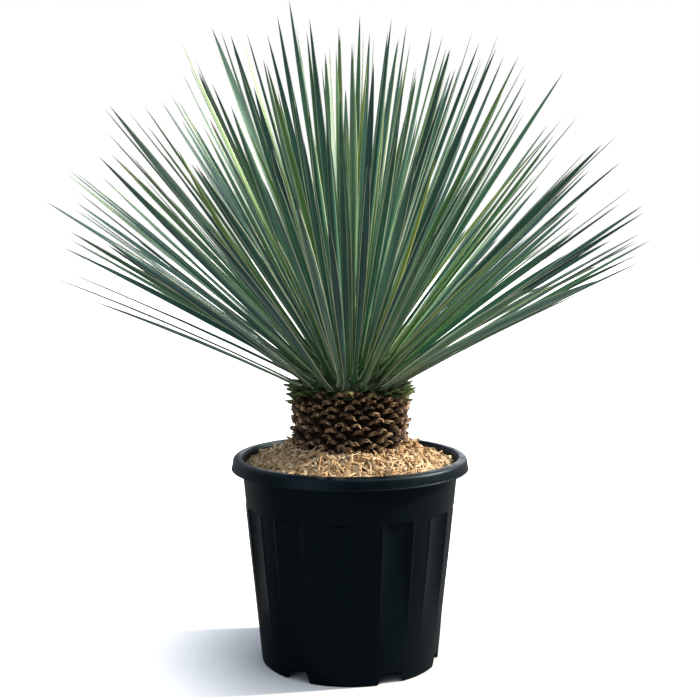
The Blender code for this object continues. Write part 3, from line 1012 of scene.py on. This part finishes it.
def new_material(name):
    """A material with a plain shader, and its node tree."""
    material = bpy.data.materials.new(name)
    material.use_nodes = True
    return material, material.node_tree


def paint(material, **inputs):
    """Sets the inputs of a material's plain shader."""
    tree = material.node_tree
    named = {name.replace("_", " "): value for name, value in inputs.items()}
    set_inputs(tree, tree.nodes["Principled BSDF"], named)
    return material


def add_bump(tree, height, strength, distance):
    inputs = {"Height": height, "Strength": strength, "Distance": distance}
    return add_node(tree, "Bump", inputs).outputs["Normal"]


def object_place(tree):
    return add_node(tree, "TexCoord").outputs["Object"]


def own_value(tree, name):
    return add_node(tree, "Attribute", attribute_name=name).outputs["Fac"]


def along_map(tree):
    return add_node(tree, "UVMap", uv_map="along").outputs["UV"]


def black_plastic(speckle):
    """Satin moulded plastic: a fine skin, cloudy gloss, and dust where it settles."""
    material, tree = new_material("black_plastic")
    place = object_place(tree)
    cloud = use_group(tree, speckle, Place=place, Coarse=9.0, Fine=60.0, Balance=0.35)
    normal = add_node(tree, "NewGeometry").outputs["Normal"]
    ledge = step_between(tree, part_of(tree, normal, "Z"), 0.35, 0.95)
    dusty = times(tree, ledge, step_between(tree, cloud, 0.42, 0.62))
    clean = mix_colours(tree, cloud, (0.0004, 0.0016, 0.0026, 1), (0.0010, 0.0028, 0.0042, 1))
    colour = mix_colours(tree, times(tree, dusty, 0.22), clean, (0.17, 0.15, 0.12, 1))
    gloss = plus(tree, step_between(tree, cloud, 0.30, 0.70, 0.34, 0.46), times(tree, dusty, 0.3))
    skin = add_bump(tree, noise_value(tree, place, 1400.0, 2.0), 0.10, 0.0002)
    return paint(material, Base_Color=colour, Roughness=gloss, Specular_IOR_Level=0.18,
                 Specular_Tint=(0.50, 0.83, 1.0, 1.0), Normal=skin)


def patchy_material(name, speckle, *stops, sizes, balance, roughness, specular, bump):
    """A rough material of cloudy patches, coloured by a ramp. sizes is how close the coarse and the fine
    ones lie, and bump is how strong and how deep they are."""
    material, tree = new_material(name)
    coarse, fine = sizes
    patches = use_group(tree, speckle, Place=object_place(tree), Coarse=coarse, Fine=fine, Balance=balance)
    return paint(material, Base_Color=colour_ramp(tree, patches, *stops), Roughness=roughness,
                 Specular_IOR_Level=specular, Normal=add_bump(tree, patches, *bump))


def potting_soil(speckle):
    return patchy_material(
        "potting_soil", speckle,
        (0.30, (0.012, 0.008, 0.005)), (0.52, (0.045, 0.030, 0.020)), (0.72, (0.11, 0.075, 0.045)),
        sizes=(60.0, 420.0), balance=0.5, roughness=0.95, specular=0.2, bump=(0.8, 0.003))


def packed_shavings(speckle):
    """The bed under the loose shavings: matted strands, with its darkest patches painted as the shade of
    deep gaps.
    """
    return patchy_material(
        "packed_shavings", speckle,
        (0.40, (0.020, 0.012, 0.006)), (0.56, (0.11, 0.065, 0.030)), (0.72, (0.34, 0.22, 0.11)),
        sizes=(140.0, 520.0), balance=0.45, roughness=0.9, specular=0.2, bump=(0.9, 0.003))


# The stem's dark bark, painted near-black as the shade in the gaps between the leaf bases
def stem_bark_and_shade(speckle):
    return patchy_material(
        "stem_bark_and_shade", speckle, (0.35, (0.006, 0.004, 0.003)), (0.65, (0.035, 0.021, 0.012)),
        sizes=(60.0, 300.0), balance=0.5, roughness=0.9, specular=0.15, bump=(0.8, 0.002))


def heart_green(speckle):
    return patchy_material(
        "heart_green", speckle, (0.35, (0.012, 0.022, 0.008)), (0.65, (0.06, 0.10, 0.03)),
        sizes=(40.0, 200.0), balance=0.5, roughness=0.7, specular=0.25, bump=(0.6, 0.002))


def wood_shaving(fibre, speckle):
    """Dry pale wood, each shaving of its own tone, with grain along it."""
    material, tree = new_material("wood_shaving")
    shade = own_value(tree, "shade")
    grain = use_group(tree, fibre, Along=along_map(tree), Fineness=14.0, Stretch=2.2, Shade=shade)
    colour = colour_ramp(tree, shade, (0.0, (0.32, 0.175, 0.072)), (0.22, (0.48, 0.300, 0.145)),
                         (0.60, (0.60, 0.410, 0.225)), (0.92, (0.68, 0.520, 0.325)))
    patches = use_group(tree, speckle, Place=object_place(tree), Coarse=30.0, Fine=260.0, Balance=0.4)
    stain = step_between(tree, patches, 0.48, 0.68, 0.0, 0.35)
    stained = mix_colours(tree, stain, colour, (0.26, 0.145, 0.065, 1))
    grained = lighten(tree, stained, step_between(tree, grain, 0.30, 0.72, 0.84, 1.10))
    return paint(material, Base_Color=grained, Roughness=0.72, Specular_IOR_Level=0.25,
                 Sheen_Weight=0.05, Normal=add_bump(tree, grain, 0.35, 0.0004))


def cut_leaf_base(fibre, name):
    """Leathery cut leaf bases, dry brown to fresh green, light at the cut's rim, with painted shade in its
    hollow and by the stem.
    """
    material, tree = new_material(name)
    shade = own_value(tree, "shade")
    fresh = own_value(tree, "fresh")
    place = along_map(tree)
    along = part_of(tree, place, "Y")
    grain = use_group(tree, fibre, Along=place, Fineness=16.0, Stretch=2.0, Shade=shade)
    tone = plus(tree, times(tree, shade, 0.6), times(tree, grain, 0.4))
    brown = colour_ramp(tree, tone, (0.22, (0.036, 0.019, 0.009)), (0.50, (0.110, 0.058, 0.026)),
                        (0.78, (0.27, 0.165, 0.085)))
    green = colour_ramp(tree, tone, (0.22, (0.030, 0.066, 0.018)), (0.50, (0.074, 0.128, 0.036)),
                        (0.78, (0.17, 0.225, 0.072)))
    body = mix_colours(tree, fresh, brown, green)
    reach = plus(tree, along, times(tree, minus(tree, grain, 0.5), 0.30))
    # Painted shade: each base darkens towards the stem, where the bases overlap and shade one another
    root = step_between(tree, reach, 0.25, 0.80, 0.85, 0.0)
    root_shaded = mix_colours(tree, root, body, (0.010, 0.006, 0.004, 1))
    rim = mix_colours(tree, fresh, (0.62, 0.40, 0.22, 1), (0.34, 0.40, 0.14, 1))
    dryness = minus(tree, 1.0, times(tree, fresh, 0.65))
    paleness = times(tree, step_between(tree, shade, 0.0, 0.9, 0.25, 0.95), dryness)
    edge = times(tree, step_between(tree, reach, 0.82, 1.0), paleness)
    rimmed = mix_colours(tree, edge, root_shaded, rim)
    # Painted shade: the sunk face at the cut's end is darkened as the shade in its hollow, less on fresh
    # bases
    hollow = times(tree, step_between(tree, along, 1.04, 1.20, 0.0, 0.92), dryness)
    colour = mix_colours(tree, hollow, rimmed, (0.022, 0.012, 0.007, 1))
    return paint(material, Base_Color=colour, Roughness=0.62, Specular_IOR_Level=0.3,
                 Normal=add_bump(tree, grain, 0.6, 0.0012))


def yucca_leaf(fibre):
    """A waxy blue-green blade: fine veins, pale margins and midline, a fresh green foot, painted shade on
    its outer half and a dry tip.
    """
    material, tree = new_material("yucca_leaf")
    shade = own_value(tree, "shade")
    dry = own_value(tree, "dry")
    place = along_map(tree)
    along = part_of(tree, place, "Y")
    sideways = minus(tree, part_of(tree, place, "X"), 0.5)
    off_middle = times(tree, maths(tree, "ABSOLUTE", sideways), 2.0)
    veins = use_group(tree, fibre, Along=place, Fineness=13.0, Stretch=1.4, Shade=shade)
    streaks = use_group(tree, fibre, Along=place, Fineness=5.0, Stretch=3.0, Shade=dry)

    mottled = plus(tree, shade, times(tree, minus(tree, streaks, 0.5), 0.40))
    green = colour_ramp(tree, mottled, (0.0, (0.030, 0.102, 0.098)), (0.32, (0.053, 0.172, 0.108)),
                        (0.56, (0.112, 0.256, 0.080)), (0.78, (0.200, 0.325, 0.064)),
                        (1.0, (0.36, 0.45, 0.088)))
    powder = plus(tree, own_value(tree, "bloom"), times(tree, streaks, 0.2))
    wax = colour_ramp(tree, powder, (0.60, (0.25, 0.44, 0.34)), (1.0, (0.50, 0.63, 0.48)))
    waxed = mix_colours(tree, step_between(tree, powder, 0.45, 1.05, 0.0, 0.88), green, wax)
    driest = step_between(tree, dry, 0.30, 0.55, 0.0, 0.7)
    withered = times(tree, step_between(tree, streaks, 0.52, 0.66), driest)
    body = mix_colours(tree, withered, waxed, (0.20, 0.135, 0.085, 1))

    ribs = times(tree, plus(tree, veins, streaks), 0.5)
    light = step_between(tree, ribs, 0.36, 0.64, 0.66, 1.76)
    # Painted shade: each blade darkens along its outer half, as if the upper crown were in shade
    painted_tip_shade = step_between(tree, along, 0.35, 0.95, 1.0, 0.58)
    veined = lighten(tree, body, times(tree, light, painted_tip_shade))
    midline = step_between(tree, off_middle, 0.0, 0.10, 0.30, 0.0)
    lined = mix_colours(tree, midline, veined, (0.17, 0.25, 0.16, 1))
    outermost = step_between(tree, own_value(tree, "age"), 0.70, 0.95)
    foot_colour = mix_colours(tree, outermost, (0.070, 0.200, 0.032, 1), (0.155, 0.200, 0.115, 1))
    foot = mix_colours(tree, step_between(tree, along, 0.05, 0.30, 0.75, 0.0), lined, foot_colour)
    pale_edge = step_between(tree, off_middle, 0.74, 0.92, 0.0, 0.95)
    margin = times(tree, pale_edge, own_value(tree, "edge"))
    edged = mix_colours(tree, margin, foot, (0.94, 0.95, 0.66, 1))

    reach = plus(tree, along, times(tree, streaks, 0.10))
    dry_start = minus(tree, 1.04, times(tree, dry, 0.16))
    dry_tip = step_between(tree, minus(tree, reach, dry_start), 0.0, 0.05, 0.0, 0.9)
    tipped = mix_colours(tree, dry_tip, edged, (0.20, 0.145, 0.080, 1))
    needle = step_between(tree, along, 0.975, 0.995, 0.0, 0.85)
    colour = mix_colours(tree, needle, tipped, (0.075, 0.048, 0.035, 1))
    gloss = step_between(tree, veins, 0.3, 0.7, 0.42, 0.56)
    return paint(material, Base_Color=colour, Roughness=gloss, Specular_IOR_Level=0.45,
                 Normal=add_bump(tree, veins, 0.25, 0.0002))


# Floor, light and camera

def set_stage():
    bpy.ops.mesh.primitive_plane_add(size=FLOOR_SIZE, location=(0, 0, -FLOOR_DROP))
    floor = close_piece(new_piece("floor"))
    material, tree = new_material("pale_floor")
    seen = add_node(tree, "LightPath").outputs["Is Camera Ray"]
    away = add_node(tree, "VectorMath", {0: object_place(tree)}, operation="LENGTH")
    # Painted light: the camera sees the floor glow more the farther it lies from the pot, which fills in
    # the cast shadow away from its foot
    painted_light = step_between(tree, away.outputs["Value"], PAINTED_LIGHT_START, PAINTED_LIGHT_FULL, 0.0, PAINTED_LIGHT_LEVEL)
    bare = mix_colours(tree, seen, (0.14, 0.14, 0.14, 1), (0.60, 0.60, 0.60, 1))
    painted_light_colour = mix_colours(tree, times(tree, seen, painted_light), (0, 0, 0, 1), (1, 1, 1, 1))
    paint(material, Base_Color=bare, Roughness=0.9, Specular_IOR_Level=0.0,
          Emission_Color=painted_light_colour, Emission_Strength=1.0)
    floor.data.materials.append(material)


def set_sky():
    """A soft pale sky, brighter behind the plant and overhead, that the camera sees as plain white."""
    world = bpy.data.worlds.new("soft_studio")
    bpy.context.scene.world = world
    world.use_nodes = True
    tree = world.node_tree
    tree.nodes.clear()
    generated = add_node(tree, "TexCoord").outputs["Generated"]
    level = colour_ramp(tree, step_between(tree, part_of(tree, generated, "Y"), -0.5, 0.9),
                        (0.0, (0.06, 0.065, 0.07)), (1.0, (0.54, 0.64, 0.76)))
    overhead = step_between(tree, part_of(tree, generated, "Z"), 0.0, 0.75)
    sky = mix_colours(tree, overhead, level, (0.62, 0.72, 0.86, 1.0))
    seen = add_node(tree, "LightPath").outputs["Is Camera Ray"]
    shown = mix_colours(tree, seen, sky, (1.0, 1.0, 1.0, 1.0))
    background = add_node(tree, "Background", {"Color": shown, "Strength": 1.0})
    result = add_node(tree, "OutputWorld")
    tree.links.new(background.outputs[0], result.inputs["Surface"])


def set_lights():
    for name, (azimuth, elevation, softness, power, colour) in LIGHTS.items():
        light = bpy.data.lights.new(name, "SUN")
        light.angle = math.radians(softness)
        light.energy = power
        light.color = colour
        lamp = bpy.data.objects.new(name, light)
        rise = math.radians(elevation)
        reach = LIGHT_DISTANCE * math.cos(rise)
        lamp.location = around(math.radians(azimuth), reach, LIGHT_DISTANCE * math.sin(rise))
        lamp.rotation_euler = (-lamp.location).to_track_quat("-Z", "Y").to_euler()
        bpy.context.scene.collection.objects.link(lamp)


def set_camera():
    data = bpy.data.cameras.new("photo_camera")
    data.lens = PHOTO_LENS
    data.sensor_width = SENSOR_WIDTH
    data.shift_y = PHOTO_SHIFT
    camera = bpy.data.objects.new("photo_camera", data)
    camera.location = CAMERA_PLACE
    camera.rotation_euler = (math.pi / 2 - CAMERA_TILT, 0.0, 0.0)
    scene = bpy.context.scene
    scene.collection.objects.link(camera)
    scene.camera = camera
    scene.view_settings.view_transform = "Standard"


def build_all():
    fibre = make_fibre_group()
    speckle = make_speckle_group()
    dress(build_pot(), black_plastic(speckle), "pot", sharp=24)
    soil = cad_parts["soil"]
    soil.data.materials.clear()
    soil.data.materials.append(potting_soil(speckle))
    dress(build_mulch_bed(), packed_shavings(speckle), "mulch")
    shaving = wood_shaving(fibre, speckle)
    for piece in build_shavings():
        dress(piece, shaving, "mulch", sharp=70)
    dress(build_core(), stem_bark_and_shade(speckle), "trunk")
    dry_base = cut_leaf_base(fibre, "dry_leaf_base")
    scales = build_leaf_bases("leaf_scales", *SCALES)
    stubs = build_leaf_bases("leaf_stubs", *STUBS)
    dress(scales, dry_base, "trunk")
    dress(build_husks(), dry_base, "trunk")
    dress(stubs, cut_leaf_base(fibre, "fresh_leaf_base"), "leaf_crown")
    dress(build_heart(), heart_green(speckle), "leaf_crown")
    leaf = yucca_leaf(fibre)
    for piece in build_leaves():
        dress(piece, leaf, "leaf_crown", sharp=34)


build_all()
set_stage()
set_sky()
set_lights()
set_camera()
